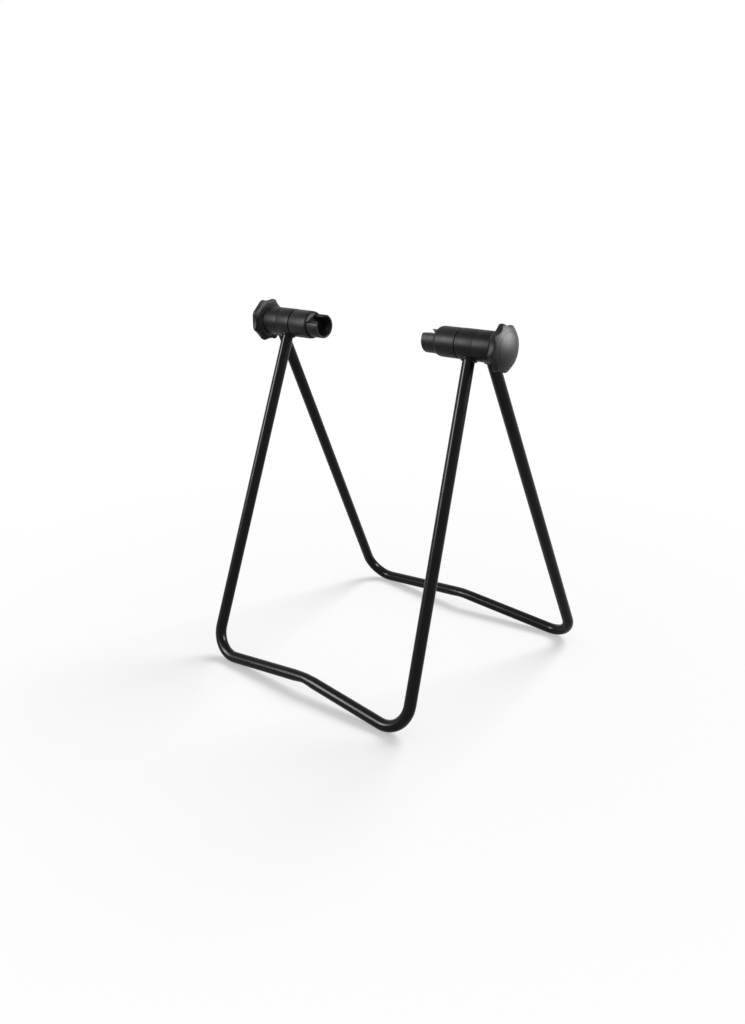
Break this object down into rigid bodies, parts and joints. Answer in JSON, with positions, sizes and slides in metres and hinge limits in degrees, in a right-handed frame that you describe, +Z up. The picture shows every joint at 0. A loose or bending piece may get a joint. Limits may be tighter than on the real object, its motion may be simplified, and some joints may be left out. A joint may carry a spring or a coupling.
{
  "type": "floor bike rack",
  "caption": "Folding floor stand of two bent tube frames on one hub axis, with sprung slotted cups that hold a bicycle by the ends of its rear axle and scalloped clamping knobs.",
  "frame": {"origin": "middle of the stand's footprint, on the floor", "axes": "+X along the hub axis towards the right knob, +Y towards the far, wider frame, +Z up"},
  "size_m": [0.3356, 0.3125, 0.3943],
  "materials": {
    "powder_coat": "gloss black powder coat",
    "nylon": "satin moulded nylon",
    "knob_plastic": "satin moulded plastic",
    "acetal": "satin",
    "brass": "turned",
    "spring_steel": "drawn wire",
    "zinc_steel": "zinc plated"
  },
  "bodies": {
    "near_frame": {"near_frame_tube": "powder_coat", "near_left_sleeve": "powder_coat", "near_right_sleeve": "powder_coat"},
    "far_frame": {"far_frame_tube": "powder_coat", "far_left_sleeve": "powder_coat", "far_right_sleeve": "powder_coat"},
    "left_spindle": {"left_spindle": "nylon", "left_threaded_insert": "brass", "left_brake_washer": "acetal"},
    "left_cup": {"left_axle_cup": "nylon", "left_cup_screw": "zinc_steel", "left_cup_spring": "spring_steel"},
    "left_washer": {"left_thrust_washer": "zinc_steel"},
    "left_knob": {"left_knob_body": "knob_plastic", "left_knob_bolt": "zinc_steel", "left_knob_cap": "knob_plastic"},
    "right_spindle": {"right_spindle": "nylon", "right_threaded_insert": "brass", "right_brake_washer": "acetal"},
    "right_cup": {"right_axle_cup": "nylon", "right_cup_screw": "zinc_steel", "right_cup_spring": "spring_steel"},
    "right_washer": {"right_thrust_washer": "zinc_steel"},
    "right_knob": {"right_knob_body": "knob_plastic", "right_knob_bolt": "zinc_steel", "right_knob_cap": "knob_plastic"}
  },
  "joints": [
    {"name": "frame_fold", "type": "hinge", "parent": "near_frame", "child": "far_frame", "pos_m": [0, -0.03235, 0.37105], "axis": [-1, 0, 0], "range_deg": [0, 44.43]},
    {"name": "left_spindle_turn", "type": "hinge", "parent": "near_frame", "child": "left_spindle", "pos_m": [-0.1, -0.03235, 0.37105], "axis": [1, 0, 0], "continuous": true},
    {"name": "left_cup_press", "type": "slide", "parent": "left_spindle", "child": "left_cup", "axis": [-1, 0, 0], "range_m": [0, 0.013], "stiffness_N_per_m": 600, "springref_m": -0.015, "deforming": ["left_cup_spring"]},
    {"name": "left_knob_travel", "type": "slide", "parent": "left_spindle", "child": "left_washer", "axis": [-1, 0, 0], "range_m": [0, 0.0025]},
    {"name": "left_knob_turn", "type": "hinge", "parent": "left_washer", "child": "left_knob", "pos_m": [-0.158, -0.03235, 0.37105], "axis": [-1, 0, 0], "range_deg": [0, 720]},
    {"name": "right_spindle_turn", "type": "hinge", "parent": "near_frame", "child": "right_spindle", "pos_m": [0.1, -0.03235, 0.37105], "axis": [1, 0, 0], "continuous": true},
    {"name": "right_cup_press", "type": "slide", "parent": "right_spindle", "child": "right_cup", "axis": [1, 0, 0], "range_m": [0, 0.013], "stiffness_N_per_m": 600, "springref_m": -0.015, "deforming": ["right_cup_spring"]},
    {"name": "right_knob_travel", "type": "slide", "parent": "right_spindle", "child": "right_washer", "axis": [1, 0, 0], "range_m": [0, 0.0025]},
    {"name": "right_knob_turn", "type": "hinge", "parent": "right_washer", "child": "right_knob", "pos_m": [0.158, -0.03235, 0.37105], "axis": [1, 0, 0], "range_deg": [0, 720]}
  ],
  "couplings": [
    {"joint": "left_knob_turn", "follows": "left_knob_travel", "rad_per_m": 5026.5},
    {"joint": "right_knob_turn", "follows": "right_knob_travel", "rad_per_m": 5026.5}
  ]
}
